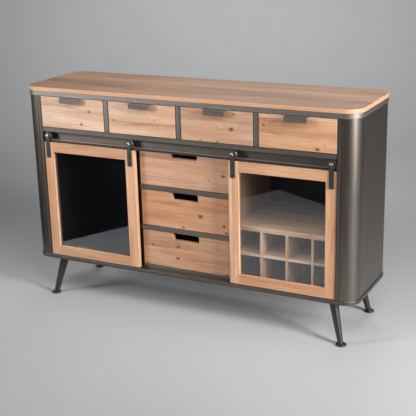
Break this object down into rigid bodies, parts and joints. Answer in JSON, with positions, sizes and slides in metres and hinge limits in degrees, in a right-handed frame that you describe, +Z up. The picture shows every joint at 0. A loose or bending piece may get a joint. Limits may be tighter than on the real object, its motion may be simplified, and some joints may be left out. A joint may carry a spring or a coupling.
{
  "type": "sideboard buffet",
  "caption": "Sideboard with a fir top, drawers above and in the middle, two glazed doors rolling on a flat track, a bottle rack, rounded sheet-steel ends and splayed legs.",
  "frame": {"origin": "on the floor, at the middle of the overall width and of the overall depth, pulls included", "axes": "+X to the right along the front, +Y from the front to the back, +Z up"},
  "size_m": [1.4, 0.409, 0.89],
  "materials": {
    "top_wood": "brushed fir boards, matt lacquer",
    "front_wood": "fir with knots, matt lacquer",
    "door_wood": "fir, matt lacquer",
    "inner_wood": "plain fir board, unfinished",
    "box_wood": "plywood, unfinished",
    "frame_steel": "dark bronze powder coat",
    "side_steel": "brushed gunmetal lacquer",
    "leg_steel": "dark bronze powder coat",
    "back_steel": "dark blue-black coat",
    "pull_steel": "bronze powder coat",
    "strap_steel": "blackened steel, waxed",
    "bolt_steel": "worn steel",
    "wheel_steel": "turned steel",
    "glass": "clear, polished"
  },
  "bodies": {
    "carcass": {"top_board": "top_wood", "top_band": "frame_steel", "bottom_tray": "frame_steel", "front_posts": "frame_steel", "mid_rail": "frame_steel", "drawer_dividers": "frame_steel", "header_panel": "frame_steel", "track_rail": "frame_steel", "track_bolts": "frame_steel", "middle_frame": "frame_steel", "left_side_panel": "side_steel", "right_side_panel": "side_steel", "back_panel": "back_steel", "left_inner_panel": "back_steel", "right_inner_panel": "back_steel", "drawer_deck": "inner_wood", "left_partition": "inner_wood", "right_partition": "inner_wood", "rack_shelf": "inner_wood", "rack_top": "inner_wood", "rack_dividers": "inner_wood", "rack_level": "inner_wood", "drawer_runners": "box_wood", "front_left_leg": "leg_steel", "front_right_leg": "leg_steel", "rear_left_leg": "leg_steel", "rear_right_leg": "leg_steel", "feet": "leg_steel"},
    "drawer_1": {"drawer_1_front": "front_wood", "drawer_1_box": "box_wood", "drawer_1_pull": "pull_steel"},
    "drawer_2": {"drawer_2_front": "front_wood", "drawer_2_box": "box_wood", "drawer_2_pull": "pull_steel"},
    "drawer_3": {"drawer_3_front": "front_wood", "drawer_3_box": "box_wood", "drawer_3_pull": "pull_steel"},
    "drawer_4": {"drawer_4_front": "front_wood", "drawer_4_box": "box_wood", "drawer_4_pull": "pull_steel"},
    "middle_drawer_3": {"middle_drawer_3_front": "front_wood", "middle_drawer_3_box": "box_wood"},
    "middle_drawer_2": {"middle_drawer_2_front": "front_wood", "middle_drawer_2_box": "box_wood"},
    "middle_drawer_1": {"middle_drawer_1_front": "front_wood", "middle_drawer_1_box": "box_wood"},
    "left_door": {"left_door_stiles": "door_wood", "left_door_rails": "door_wood", "left_door_glass": "glass", "left_door_straps": "strap_steel", "left_door_bolts": "bolt_steel"},
    "left_door_inner_wheel_body": {"left_door_inner_wheel": "wheel_steel"},
    "left_door_outer_wheel_body": {"left_door_outer_wheel": "wheel_steel"},
    "right_door": {"right_door_stiles": "door_wood", "right_door_rails": "door_wood", "right_door_glass": "glass", "right_door_straps": "strap_steel", "right_door_bolts": "bolt_steel"},
    "right_door_inner_wheel_body": {"right_door_inner_wheel": "wheel_steel"},
    "right_door_outer_wheel_body": {"right_door_outer_wheel": "wheel_steel"}
  },
  "joints": [
    {"name": "drawer_1_slide", "type": "slide", "parent": "carcass", "child": "drawer_1", "axis": [0, -1, 0], "range_m": [0, 0.25]},
    {"name": "drawer_2_slide", "type": "slide", "parent": "carcass", "child": "drawer_2", "axis": [0, -1, 0], "range_m": [0, 0.25]},
    {"name": "drawer_3_slide", "type": "slide", "parent": "carcass", "child": "drawer_3", "axis": [0, -1, 0], "range_m": [0, 0.25]},
    {"name": "drawer_4_slide", "type": "slide", "parent": "carcass", "child": "drawer_4", "axis": [0, -1, 0], "range_m": [0, 0.25]},
    {"name": "middle_drawer_3_slide", "type": "slide", "parent": "carcass", "child": "middle_drawer_3", "axis": [0, -1, 0], "range_m": [0, 0.25]},
    {"name": "middle_drawer_2_slide", "type": "slide", "parent": "carcass", "child": "middle_drawer_2", "axis": [0, -1, 0], "range_m": [0, 0.25]},
    {"name": "middle_drawer_1_slide", "type": "slide", "parent": "carcass", "child": "middle_drawer_1", "axis": [0, -1, 0], "range_m": [0, 0.25]},
    {"name": "left_door_slide", "type": "slide", "parent": "carcass", "child": "left_door", "axis": [-1, 0, 0], "range_m": [-0.2, 0]},
    {"name": "left_door_inner_wheel_spin", "type": "hinge", "parent": "left_door", "child": "left_door_inner_wheel_body", "pos_m": [-0.22, -0.173, 0.6928], "axis": [0, 1, 0], "range_deg": [0, 860]},
    {"name": "left_door_outer_wheel_spin", "type": "hinge", "parent": "left_door", "child": "left_door_outer_wheel_body", "pos_m": [-0.601, -0.173, 0.6928], "axis": [0, 1, 0], "range_deg": [0, 860]},
    {"name": "right_door_slide", "type": "slide", "parent": "carcass", "child": "right_door", "axis": [1, 0, 0], "range_m": [-0.2, 0]},
    {"name": "right_door_inner_wheel_spin", "type": "hinge", "parent": "right_door", "child": "right_door_inner_wheel_body", "pos_m": [0.22, -0.173, 0.6928], "axis": [0, 1, 0], "range_deg": [-860, 0]},
    {"name": "right_door_outer_wheel_spin", "type": "hinge", "parent": "right_door", "child": "right_door_outer_wheel_body", "pos_m": [0.601, -0.173, 0.6928], "axis": [0, 1, 0], "range_deg": [-860, 0]}
  ],
  "couplings": [
    {"joint": "left_door_inner_wheel_spin", "follows": "left_door_slide", "rad_per_m": -74.074},
    {"joint": "left_door_outer_wheel_spin", "follows": "left_door_slide", "rad_per_m": -74.074},
    {"joint": "right_door_inner_wheel_spin", "follows": "right_door_slide", "rad_per_m": 74.074},
    {"joint": "right_door_outer_wheel_spin", "follows": "right_door_slide", "rad_per_m": 74.074}
  ]
}
